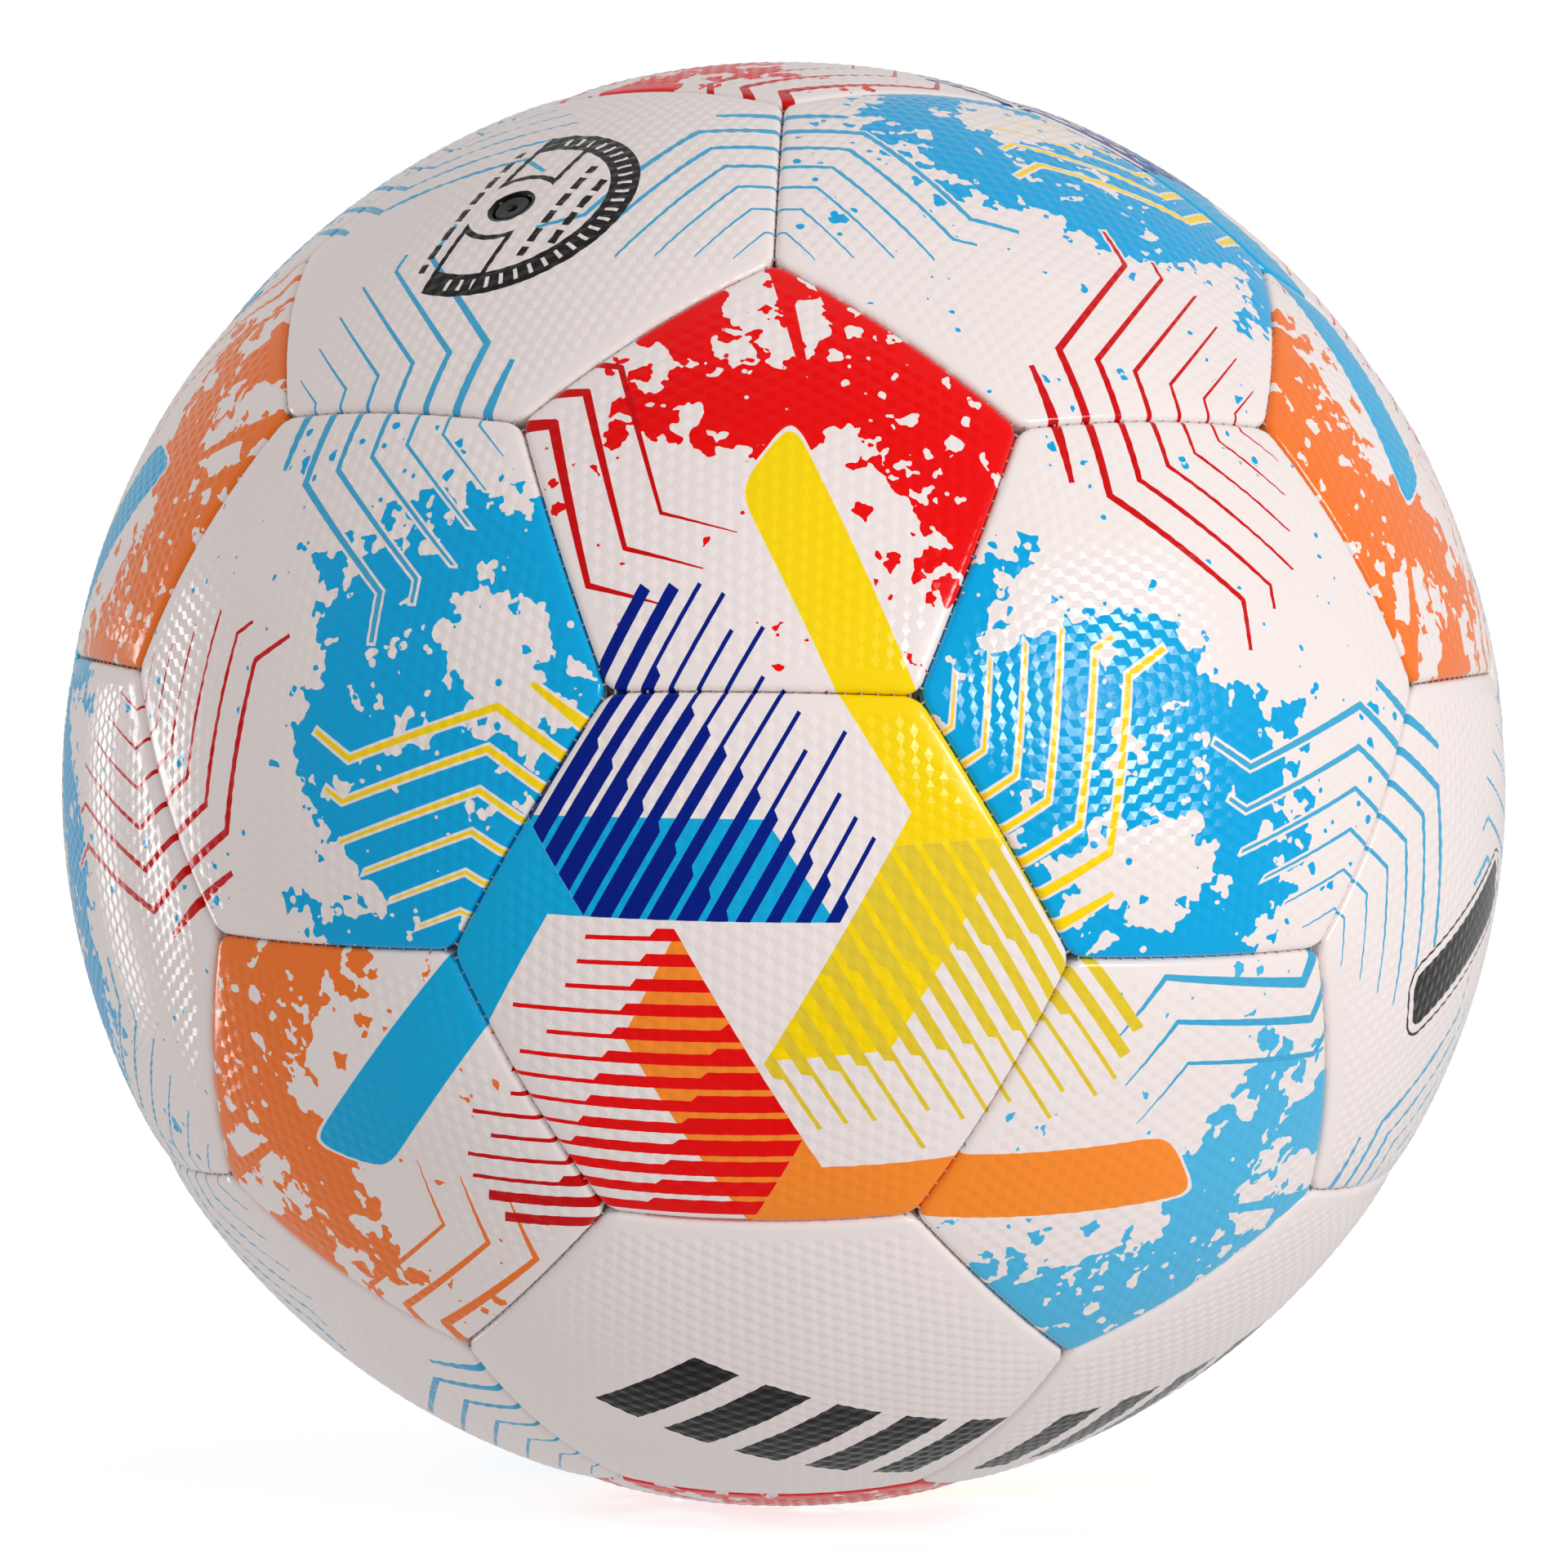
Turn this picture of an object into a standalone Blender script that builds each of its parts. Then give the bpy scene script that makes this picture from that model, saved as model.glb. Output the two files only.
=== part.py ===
"""A size 5 soccer ball: sewn cover panels over a cloth lining and a rubber bladder with a needle valve.

Metres, +Z up, with the origin at the middle of the ball. The cover follows a truncated icosahedron laid
on a sphere. One pentagon panel is at the top and one at the bottom, and the ring of five pentagons below
the top one has its first panel over -Y. Panels are numbered round from -Y towards +X.
"""

import math

import bmesh
import bpy
from mathutils import Matrix, Vector

# The ball and its cover.
BALL_RADIUS = 0.110
PANEL_THICKNESS = 0.0040  # embossed skin with its foam
SEAM_GAP = 0.0003
SEAM_DEPTH = 0.0010  # from the crown of a panel down to its rolled edge
ROLL_LENGTH = 0.0025  # how quickly the rolled edge rises to the crown
RIM_WIDTH = 0.0035
PANEL_CUTS = 2  # cuts across each side of a panel

# Under the cover.
THREAD_RADIUS = 0.1054  # from the middle of the ball to the middle of the thread
THREAD_THICKNESS = 0.0010
LINING_RADIUS = 0.1044
LINING_THICKNESS = 0.0010
BLADDER_RADIUS = 0.1030
BLADDER_THICKNESS = 0.0008
COLLAR_THICKNESS = 0.0012  # bladder wall round its neck
COLLAR_BLEND = 1.3  # where the thin wall starts, as a multiple of the collar's angle
TURN_STEPS = 28
ARC_STEPS = 15
COLLAR_STEPS = 2

# The valve. Heights are distances from the middle of the ball.
VALVE_HEAD_TOP = 0.1096
VALVE_HEAD_RADIUS = 0.0028
VALVE_HEAD_BOTTOM = 0.1058
STEM_RADIUS = 0.0046
FLANGE_TOP = 0.1014
FLANGE_BOTTOM = 0.1002
FLANGE_RADIUS = 0.0110
TAIL_RADIUS = 0.0036
TAIL_BOTTOM = 0.0880
BORE_RADIUS = 0.0009
CHAMBER_RADIUS = 0.0023
CHAMBER_TOP = 0.1032
CHAMBER_BOTTOM = 0.0896
SHOULDER_FALL = 0.0006  # how far the neck and the flange slope down to their rims
TAIL_CHAMFER = 0.0008
FIT_GAP = 0.0003
SLIT_WIDTH = 0.0003
SLIT_LENGTH = 0.0022
PATCH_RADIUS = 0.0135
PATCH_THICKNESS = 0.0008
BALANCE_RADIUS = 0.0150
BALANCE_THICKNESS = 0.0014
BALANCE_GAP = 0.0010  # clears the flat facets of the bladder
BALANCE_STEPS = 4

HEXAGON, PENTAGON = 6, 5
EDGE_OVER_RADIUS = 4 / math.sqrt(58 + 18 * math.sqrt(5))  # side of a truncated icosahedron
MERGE = 0.00001

# Heights on a ball of radius 1 that tell the rings of panels apart.
POLE = 0.999
NEAR_POLE = 0.9
HALF_WAY = 0.5
BELOW_ALL = -1.1
NUMBERING_MARGIN = 0.001  # keeps a panel just short of -Y from being counted last

WARM_WHITE = (0.80, 0.76, 0.73)
RED = (0.72, 0.01, 0.01)
BLUE = (0.02, 0.36, 0.68)
ORANGE = (0.90, 0.20, 0.04)
THREAD_WHITE = (0.62, 0.60, 0.56)
CLOTH = (0.55, 0.53, 0.47)
BUTYL = (0.03, 0.03, 0.035)
VALVE_BLACK = (0.015, 0.015, 0.016)
PLUG_RUBBER = (0.30, 0.12, 0.06)
SKIN_ROUGHNESS = 0.36
THREAD_ROUGHNESS = 0.7
CLOTH_ROUGHNESS = 0.9
RUBBER_ROUGHNESS = 0.5


def clear_scene():
    for old in list(bpy.data.objects):
        bpy.data.objects.remove(old, do_unlink=True)


def new_collection(name):
    collection = bpy.data.collections.new(name)
    bpy.context.scene.collection.children.link(collection)
    return collection


def make_material(name, colour, roughness):
    material = bpy.data.materials.new(name)
    material.use_nodes = True
    shader = material.node_tree.nodes["Principled BSDF"]
    shader.inputs["Base Color"].default_value = (*colour, 1.0)
    shader.inputs["Roughness"].default_value = roughness
    return material


def add_object(name, mesh, collection, material):
    obj = bpy.data.objects.new(name, mesh)
    collection.objects.link(obj)
    obj.parent = ball_centre
    if not mesh.materials:
        mesh.materials.append(None)
    obj.material_slots[0].link = "OBJECT"
    obj.material_slots[0].material = material
    return obj


def local_axes(outward):
    """A turn whose Z points outward and whose Y points up the ball, or to +Y on the top and bottom panels."""
    upward = Vector((0, 0, 1)) if abs(outward.z) < POLE else Vector((0, 1, 0))
    east = upward.cross(outward).normalized()
    north = outward.cross(east)
    return Matrix((east, north, outward)).transposed()


# The cover panels.


def front_turn(bm):
    """The turn about Z that brings one corner of the icosahedron's upper ring over -Y."""
    upper = next(v.co for v in bm.verts if 0 < v.co.z < NEAR_POLE)
    return Matrix.Rotation(-math.pi / 2 - math.atan2(upper.y, upper.x), 4, "Z")


def panel_directions():
    """Unit vectors to the middle of each pentagon and of each hexagon."""
    bm = bmesh.new()
    bmesh.ops.create_icosphere(bm, subdivisions=1, radius=1.0)
    bmesh.ops.transform(bm, matrix=front_turn(bm), verts=bm.verts)
    pentagons = [v.co.normalized() for v in bm.verts]
    hexagons = [f.calc_center_median().normalized() for f in bm.faces]
    bm.free()
    return pentagons, hexagons


def angle_from_front(direction):
    """Angle round the ball from -Y towards +X, from 0 up to a full turn."""
    angle = math.atan2(direction.x, -direction.y)
    return (angle + NUMBERING_MARGIN) % (2 * math.pi)


def numbered_rings(directions, levels):
    """Names each direction by its level, the lowest height of which is given, and its place in that ring."""
    named = {}
    for level, lowest in levels:
        taken = list(named.values())
        ring = [d for d in directions if d.z > lowest and d not in taken]
        for number, direction in enumerate(sorted(ring, key=angle_from_front), 1):
            suffix = f"_{number}" if len(ring) > 1 else ""
            named[level + suffix] = direction
    return named


def edge_drop(distance):
    """How far a panel lies below its crown at this distance from its edge."""
    return SEAM_DEPTH * math.exp(-distance / ROLL_LENGTH)


def panel_mesh(name, sides):
    """One dished panel: a fan of triangles, cut finer and laid on the sphere, with its edge rolled down."""
    circumradius = EDGE_OVER_RADIUS * BALL_RADIUS / (2 * math.sin(math.pi / sides))
    plane_height = math.sqrt(BALL_RADIUS**2 - circumradius**2)
    apothem = circumradius * math.cos(math.pi / sides) - SEAM_GAP / 2
    bm = bmesh.new()
    bmesh.ops.create_circle(
        bm, cap_ends=True, cap_tris=True, segments=sides, radius=apothem / math.cos(math.pi / sides)
    )
    bmesh.ops.subdivide_edges(bm, edges=bm.edges[:], cuts=PANEL_CUTS, use_grid_fill=True)
    bmesh.ops.inset_region(bm, faces=bm.faces[:], thickness=RIM_WIDTH, use_boundary=True)
    first_corner = max(bm.verts, key=lambda v: v.co.length).co
    corner_angle = math.atan2(first_corner.y, first_corner.x)
    side_angles = [corner_angle + (2 * k + 1) * math.pi / sides for k in range(sides)]
    for vert in bm.verts:
        reach = max(vert.co.x * math.cos(a) + vert.co.y * math.sin(a) for a in side_angles)
        direction = Vector((vert.co.x, vert.co.y, plane_height)).normalized()
        vert.co = direction * (BALL_RADIUS - edge_drop(apothem - reach))
        vert.co.z -= BALL_RADIUS
    corner_up = math.pi / 2 if sides == PENTAGON else 0
    bmesh.ops.rotate(bm, verts=bm.verts, matrix=Matrix.Rotation(corner_up - corner_angle, 3, "Z"))
    bmesh.ops.recalc_face_normals(bm, faces=bm.faces)
    if sum(face.normal.z for face in bm.faces) < 0:
        bmesh.ops.reverse_faces(bm, faces=bm.faces)
    mesh = bpy.data.meshes.new(name)
    bm.to_mesh(mesh)
    bm.free()
    mesh.shade_smooth()
    return mesh


def corner_points_down(direction):
    """The pentagons of the lower ring have a corner down the ball, and the top one has a corner to -Y."""
    return direction.z > NEAR_POLE or -NEAR_POLE < direction.z < 0


def add_panel(name, mesh, direction, material):
    """Stands the panel at its place on the sphere and gives it the thickness of its laminate."""
    panel = add_object(name, mesh, parts, material)
    turn = local_axes(direction)
    if name.startswith("pentagon") and corner_points_down(direction):
        turn = turn @ Matrix.Rotation(math.pi, 3, "Z")
    panel.location = direction * BALL_RADIUS
    panel.rotation_euler = turn.to_euler()
    laminate = panel.modifiers.new("laminate", "SOLIDIFY")
    laminate.thickness = PANEL_THICKNESS
    laminate.offset = -1
    laminate.use_even_offset = True
    return panel


def pentagon_colour(name):
    """The strongest colour of the print on a pentagon panel."""
    if name.endswith(("top", "bottom", "upper_1", "lower_4")):
        return RED
    if name.endswith(("upper_3", "upper_4", "lower_1", "lower_2")):
        return BLUE
    return ORANGE


def add_cover():
    pentagons, hexagons = panel_directions()
    pentagon_levels = (("top", NEAR_POLE), ("upper", 0.0), ("lower", -NEAR_POLE), ("bottom", BELOW_ALL))
    hexagon_levels = (("top", HALF_WAY), ("upper", 0.0), ("lower", -HALF_WAY), ("bottom", BELOW_ALL))
    pentagon = panel_mesh("pentagon_panel", PENTAGON)
    for level, direction in numbered_rings(pentagons, pentagon_levels).items():
        name = "pentagon_panel_" + level
        ink = make_material(name, pentagon_colour(name), SKIN_ROUGHNESS)
        add_panel(name, pentagon, direction, ink)
    hexagon = panel_mesh("hexagon_panel", HEXAGON)
    for level, direction in numbered_rings(hexagons, hexagon_levels).items():
        name = "hexagon_panel_" + level
        add_panel(name, hexagon, direction, make_material(name, WARM_WHITE, SKIN_ROUGHNESS))


# The sewing thread.


def seam_net():
    """The truncated icosahedron with its sides cut finer, turned like the cover and laid on the sphere."""
    bm = bmesh.new()
    bmesh.ops.create_icosphere(bm, subdivisions=1, radius=1.0)
    bmesh.ops.transform(bm, matrix=front_turn(bm), verts=bm.verts)
    bm.edges.ensure_lookup_table()
    third = bm.edges[0].calc_length() / 3
    bmesh.ops.bevel(bm, geom=bm.verts[:], offset=third, offset_type="OFFSET", affect="VERTICES")
    bmesh.ops.subdivide_edges(bm, edges=bm.edges[:], cuts=PANEL_CUTS)
    for vert in bm.verts:
        vert.co = vert.co.normalized() * THREAD_RADIUS
    return bm


def add_thread():
    """The waxed thread that joins the panels, one net with a strand under each seam."""
    bm = seam_net()
    panels = bm.faces[:]
    bmesh.ops.inset_individual(bm, faces=panels, thickness=THREAD_THICKNESS / 2)
    bmesh.ops.delete(bm, geom=panels, context="FACES_ONLY")
    mesh = bpy.data.meshes.new("seam_thread")
    bm.to_mesh(mesh)
    bm.free()
    mesh.shade_smooth()
    waxed = make_material("seam_thread", THREAD_WHITE, THREAD_ROUGHNESS)
    thread = add_object("seam_thread", mesh, parts, waxed)
    strands = thread.modifiers.new("strands", "SOLIDIFY")
    strands.thickness = THREAD_THICKNESS
    strands.offset = 0


# Pieces turned about the axis of the valve.


def add_turned(name, profile, material, direction):
    """Turns a profile of (radius, height) points, up its inner side and down its outer side.

    A profile that starts and ends on the axis is closed by the turning, and any other one is a loop.
    """
    bm = bmesh.new()
    verts = [bm.verts.new((radius, 0, height)) for radius, height in profile]
    for start, end in zip(verts, verts[1:]):
        bm.edges.new((start, end))
    if profile[0][0] > 0:
        bm.edges.new((verts[-1], verts[0]))
    mesh = bpy.data.meshes.new(name)
    bm.to_mesh(mesh)
    bm.free()
    piece = add_object(name, mesh, parts, material)
    piece.rotation_euler = local_axes(direction).to_euler()
    turned = piece.modifiers.new("turned", "SCREW")
    turned.steps = TURN_STEPS
    turned.render_steps = TURN_STEPS
    turned.use_merge_vertices = True
    turned.merge_threshold = MERGE
    turned.use_smooth_shade = True
    return piece


def arc(radius, start_angle, end_angle, steps):
    """Points of a circle about the middle of the ball, with angles taken from the valve's axis."""
    points = []
    for step in range(steps + 1):
        angle = start_angle + (end_angle - start_angle) * step / steps
        points.append((radius * max(math.sin(angle), 0), radius * math.cos(angle)))
    return points


def shell_profile(outer_radius, wall, collar_wall):
    """A hollow ball with a hole for the stem, and a collar round the hole with its own wall thickness."""
    hole = math.asin((STEM_RADIUS + FIT_GAP) / outer_radius)
    collar_end = math.asin(PATCH_RADIUS / outer_radius)
    thin_start = COLLAR_BLEND * collar_end
    outer = arc(outer_radius, hole, collar_end, COLLAR_STEPS)
    outer += arc(outer_radius, thin_start, math.pi, ARC_STEPS)
    inner = arc(outer_radius - collar_wall, hole, collar_end, COLLAR_STEPS)
    inner += arc(outer_radius - wall, thin_start, math.pi, ARC_STEPS)
    return inner[::-1] + outer


def add_lining(direction):
    """The plies of cloth behind the foam, with a hole for the stem."""
    profile = shell_profile(LINING_RADIUS, LINING_THICKNESS, LINING_THICKNESS)
    add_turned("cloth_lining", profile, make_material("cloth_lining", CLOTH, CLOTH_ROUGHNESS), direction)


def add_bladder(direction):
    """The air bladder, whose wall is thicker round the hole that the stem comes through."""
    profile = shell_profile(BLADDER_RADIUS, BLADDER_THICKNESS, COLLAR_THICKNESS)
    add_turned("bladder", profile, make_material("bladder", BUTYL, RUBBER_ROUGHNESS), direction)


def add_valve_stem(direction):
    """The moulded stem: head, neck, the flange bonded inside the bladder, and the tail with its chamber."""
    inner = [
        (BORE_RADIUS, TAIL_BOTTOM),
        (BORE_RADIUS, CHAMBER_BOTTOM),
        (CHAMBER_RADIUS, CHAMBER_BOTTOM + CHAMBER_RADIUS - BORE_RADIUS),
        (CHAMBER_RADIUS, CHAMBER_TOP - CHAMBER_RADIUS + BORE_RADIUS),
        (BORE_RADIUS, CHAMBER_TOP),
        (BORE_RADIUS, VALVE_HEAD_TOP),
    ]
    outer = [
        (VALVE_HEAD_RADIUS, VALVE_HEAD_TOP),
        (VALVE_HEAD_RADIUS, VALVE_HEAD_BOTTOM),
        (STEM_RADIUS, VALVE_HEAD_BOTTOM - SHOULDER_FALL),
        (STEM_RADIUS, FLANGE_TOP),
        (FLANGE_RADIUS, FLANGE_TOP - SHOULDER_FALL),
        (FLANGE_RADIUS, FLANGE_BOTTOM),
        (TAIL_RADIUS, FLANGE_BOTTOM),
        (TAIL_RADIUS, TAIL_BOTTOM + TAIL_CHAMFER),
        (TAIL_RADIUS - TAIL_CHAMFER, TAIL_BOTTOM),
    ]
    rubber = make_material("valve_stem", VALVE_BLACK, RUBBER_ROUGHNESS)
    add_turned("valve_stem", inner + outer, rubber, direction)


def add_needle_plug(direction):
    """The self-sealing plug in the chamber, with the slit that a pump needle opens."""
    radius = CHAMBER_RADIUS - FIT_GAP
    taper = CHAMBER_RADIUS - BORE_RADIUS
    top = CHAMBER_TOP - taper - FIT_GAP
    bottom = CHAMBER_BOTTOM + taper + FIT_GAP
    profile = [(0.0, top), (radius, top), (radius, bottom), (0.0, bottom)]
    rubber = make_material("needle_plug", PLUG_RUBBER, RUBBER_ROUGHNESS)
    plug = add_turned("needle_plug", profile, rubber, direction)
    cutter = add_box_cutter("needle_slit", (SLIT_WIDTH, SLIT_LENGTH, 2 * (top - bottom)), direction)
    cutter.location = direction * (top + bottom) / 2
    cut = plug.modifiers.new("slit", "BOOLEAN")
    cut.object = cutter
    cut.operation = "DIFFERENCE"


def add_box_cutter(name, size, direction):
    bm = bmesh.new()
    bmesh.ops.create_cube(bm, size=1.0)
    bmesh.ops.scale(bm, vec=size, verts=bm.verts)
    mesh = bpy.data.meshes.new(name)
    bm.to_mesh(mesh)
    bm.free()
    return add_cutter(name, mesh, direction)


def add_cutter(name, mesh, direction):
    cutter = bpy.data.objects.new(name, mesh)
    cutters.objects.link(cutter)
    cutter.parent = ball_centre
    cutter.rotation_euler = local_axes(direction).to_euler()
    cutter.hide_render = True
    cutter.display_type = "WIRE"
    return cutter


def cut_valve_hole(panel, direction):
    """The round hole that the valve's head sits in."""
    bm = bmesh.new()
    bmesh.ops.create_cone(
        bm,
        cap_ends=True,
        segments=TURN_STEPS,
        radius1=VALVE_HEAD_RADIUS + FIT_GAP,
        radius2=VALVE_HEAD_RADIUS + FIT_GAP,
        depth=4 * PANEL_THICKNESS,
    )
    mesh = bpy.data.meshes.new("valve_hole")
    bm.to_mesh(mesh)
    bm.free()
    cutter = add_cutter("valve_hole", mesh, direction)
    cutter.location = direction * BALL_RADIUS
    cut = panel.modifiers.new("valve hole", "BOOLEAN")
    cut.object = cutter
    cut.operation = "DIFFERENCE"


def add_valve_patch(direction):
    """The ring that holds the flange down, with a hole for the tail."""
    top = FLANGE_BOTTOM - FIT_GAP
    hole = TAIL_RADIUS + FIT_GAP
    bottom = top - PATCH_THICKNESS
    profile = [(hole, bottom), (hole, top), (PATCH_RADIUS, top), (PATCH_RADIUS, bottom)]
    add_turned("valve_patch", profile, make_material("valve_patch", BUTYL, RUBBER_ROUGHNESS), direction)


def add_balance_patch(direction):
    """The rubber disc opposite the valve, as heavy as the valve, that keeps the ball in balance."""
    outer_radius = BLADDER_RADIUS - BLADDER_THICKNESS - BALANCE_GAP
    reach = math.asin(BALANCE_RADIUS / outer_radius)
    outer = arc(outer_radius, 0, reach, BALANCE_STEPS)
    inner = arc(outer_radius - BALANCE_THICKNESS, 0, reach, BALANCE_STEPS)
    rubber = make_material("balance_patch", BUTYL, RUBBER_ROUGHNESS)
    add_turned("balance_patch", outer + inner[::-1], rubber, -direction)


clear_scene()
parts = new_collection("soccer_ball")
cutters = new_collection("cutters")
ball_centre = bpy.data.objects.new("ball_centre", None)
parts.objects.link(ball_centre)

add_cover()
add_thread()
valve_panel = bpy.data.objects["hexagon_panel_top_5"]
valve_direction = valve_panel.location.normalized()
cut_valve_hole(valve_panel, valve_direction)
add_lining(valve_direction)
add_bladder(valve_direction)
add_valve_stem(valve_direction)
add_needle_plug(valve_direction)
add_valve_patch(valve_direction)
add_balance_patch(valve_direction)
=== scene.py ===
"""The looks of a size 5 soccer ball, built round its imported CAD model.

Each cover panel is a new piece: a foam-backed skin, embossed with small flat facets, whose edges roll
down into the seams. Its print is drawn by shader nodes from flat panel coordinates in millimetres, which
the mesh carries as a UV map. Those are gnomonic: a point at (x, y) lies in the direction of (x, y, 110),
so each great circle, and with it each seam, is a straight line.
"""

import math

import bpy
import numpy as np
from mathutils import Matrix, Vector
from mathutils.geometry import delaunay_2d_cdt


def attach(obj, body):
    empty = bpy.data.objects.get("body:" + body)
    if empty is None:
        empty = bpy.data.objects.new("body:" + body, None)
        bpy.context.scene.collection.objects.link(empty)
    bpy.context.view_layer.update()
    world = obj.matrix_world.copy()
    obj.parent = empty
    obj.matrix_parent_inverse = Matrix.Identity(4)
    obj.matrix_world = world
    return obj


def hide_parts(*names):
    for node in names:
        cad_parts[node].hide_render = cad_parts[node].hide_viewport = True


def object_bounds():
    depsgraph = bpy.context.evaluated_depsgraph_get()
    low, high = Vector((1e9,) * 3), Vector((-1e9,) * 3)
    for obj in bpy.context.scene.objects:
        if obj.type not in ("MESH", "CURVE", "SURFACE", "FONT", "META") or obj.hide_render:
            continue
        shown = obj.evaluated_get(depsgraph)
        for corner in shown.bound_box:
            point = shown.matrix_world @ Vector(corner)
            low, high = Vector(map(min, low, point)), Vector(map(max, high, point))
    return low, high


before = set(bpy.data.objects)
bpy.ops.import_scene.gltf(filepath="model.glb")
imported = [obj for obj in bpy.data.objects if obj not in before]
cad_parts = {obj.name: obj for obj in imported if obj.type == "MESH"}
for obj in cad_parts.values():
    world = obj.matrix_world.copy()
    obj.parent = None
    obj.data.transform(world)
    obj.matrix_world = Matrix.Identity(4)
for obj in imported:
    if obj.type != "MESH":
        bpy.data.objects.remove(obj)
cad_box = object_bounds()

MM = 0.001

# The cover, in millimetres.
BALL = 110.0
SEAM_GAP = 0.08
SIDE = BALL * 4 / math.sqrt(58 + 18 * math.sqrt(5))  # straight side of a panel
CORNER_ROUND = 2.2
EMBOSS_PITCH = 1.44
EMBOSS_HEIGHT = 0.17
EMBOSS_MIDDLE = 0.35  # share of the height at the middle third of the points
EMBOSS_START = 2.7  # from the edge of a panel
EMBOSS_FULL = 3.6
EMBOSS_LEAST = 0.35  # share of the full relief where the facets start
ROLL_RADIUS = 1.1
CROWN_DROP = 0.50
CROWN_LENGTH = 4.0
STITCH_PITCH = 2.4
STITCH_DIP = 0.07
STITCH_REACH = 0.8
# Rings of points round a panel: how far from its edge, and how far apart the points are.
RINGS = ((0.0, 0.6), (0.08, 0.6), (0.28, 0.6), (0.6, 0.6), (1.05, 0.8), (1.55, 1.2), (2.1, 1.2))
SKIN_DEPTH = 2.6  # from the ball's surface down to where the skin meets the foam
PANEL_DEPTH = 4.0
BACKING_PITCH = 8.0
HOLE_RADIUS = 3.1  # the hole for the valve
HOLE_STEPS = 60
HOLE_RIM = 0.3
HOLE_SINK = 0.25
HOLE_CLEAR = 0.6  # from the hole to the nearest facets
UV_SPAN = 120.0  # millimetres across the UV square

# How a face of a panel is finished.
FACET, SMOOTH, BACKING = 0, 1, 2

# Where the panels are: elevation of each level, and azimuth of its first panel from -Y towards +X.
GOLDEN = (1 + math.sqrt(5)) / 2
HIGH = math.degrees(math.atan(GOLDEN**2 / 2))
LOW = math.degrees(math.atan(1 / (2 * GOLDEN**2)))
RING = math.degrees(math.atan(0.5))
LEVELS = {
    "hexagon_panel_top": (HIGH, 36),
    "hexagon_panel_upper": (LOW, 36),
    "hexagon_panel_lower": (-LOW, 0),
    "hexagon_panel_bottom": (-HIGH, 0),
    "pentagon_panel_upper": (RING, 0),
    "pentagon_panel_lower": (-RING, 36),
    "pentagon_panel_top": (90, 0),
    "pentagon_panel_bottom": (-90, 0),
}

# The print of each panel, and how far that artwork is turned on it, in degrees.
ARTWORK = {
    "hexagon_panel_top": (
        ("splatter_left", 180), ("figure", 0), ("splatter_right", -60), ("splatter_left", 60), ("valve", 0),
    ),
    "hexagon_panel_upper": (
        ("splatter_right", 0), ("splatter_left", -120), ("fans_left", 180), ("figure", 180),
        ("splatter_right", 120),
    ),
    "hexagon_panel_lower": (
        ("figure", 0), ("badge", 0), ("splatter_right", 60), ("splatter_right", 180), ("splatter_left", -60)
    ),
    "hexagon_panel_bottom": (
        ("bars_first", 0), ("bars_second", 0), ("figure", 180), ("splatter_left", 0), ("fans_right", 180)
    ),
    "pentagon_panel_top": (("red", 108),),
    "pentagon_panel_upper": (("red", 0), ("orange", 144), ("blue", -144), ("blue", 72), ("orange", -72)),
    "pentagon_panel_lower": (("blue", -108), ("blue", 36), ("orange", -36), ("red", 180), ("orange", 108)),
    "pentagon_panel_bottom": (("red", -144),),
}


# Panels as meshes.


def outward(azimuth, elevation):
    """The direction from the middle of the ball at this azimuth and elevation."""
    a, e = math.radians(azimuth), math.radians(elevation)
    return Vector((math.sin(a) * math.cos(e), -math.cos(a) * math.cos(e), math.sin(e)))


def panel_turn(level, index):
    """A turn whose Z points out through a panel, and whose Y points up, or to +Y at a pole."""
    elevation, first = LEVELS[level]
    out = outward(first + index * 360 / len(ARTWORK[level]), elevation)
    up = Vector((0, 0, 1)) if abs(elevation) < 89 else Vector((0, 1, 0))
    east = up.cross(out).normalized()
    return np.array(Matrix((east, out.cross(east), out)).transposed())


def panel_kind(level):
    """How many sides the panels of a level have, and which way the first side faces, in degrees."""
    if level.startswith("hexagon"):
        return 6, 30
    return 5, 18 if level.endswith(("lower", "top")) else 54


def panel_apothem(sides):
    """From the middle of a panel to the middle of its side, in panel coordinates."""
    circumradius = SIDE / (2 * math.sin(math.pi / sides))
    height = math.sqrt(BALL**2 - circumradius**2)
    return BALL * circumradius * math.cos(math.pi / sides) / height


def side_normals(sides, first):
    """The ways that the sides of a panel face."""
    angles = np.radians(first) + np.arange(sides) * 2 * np.pi / sides
    return np.stack([np.cos(angles), np.sin(angles)], 1)


def edge_distance(points, sides, first):
    """How far inside a panel's rounded outline each point is. Its first side faces that many degrees."""
    inset = panel_apothem(sides) - SEAM_GAP / 2 - points @ side_normals(sides, first).T
    near = np.maximum(CORNER_ROUND - inset, 0)
    return np.where(near.any(1), CORNER_ROUND - np.linalg.norm(near, axis=1), inset.min(1))


def outline(distance, spacing, sides, first):
    """Points round a panel at one distance inside its edge."""
    apothem = panel_apothem(sides)
    half = apothem * math.tan(math.pi / sides)
    count = 2 * round(half / spacing)
    along = (np.arange(count) + 0.5) / count * 2 - 1
    normals = side_normals(sides, first)
    tangents = np.stack([-normals[:, 1], normals[:, 0]], 1)
    rays = (apothem * normals[:, None] + half * along[None, :, None] * tangents[:, None]).reshape(-1, 2)
    low, high = np.zeros(len(rays)), np.ones(len(rays))
    for _ in range(40):
        middle = (low + high) / 2
        inside = edge_distance(rays * middle[:, None], sides, first) > distance
        low, high = np.where(inside, middle, low), np.where(inside, high, middle)
    return rays * low[:, None]


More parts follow.
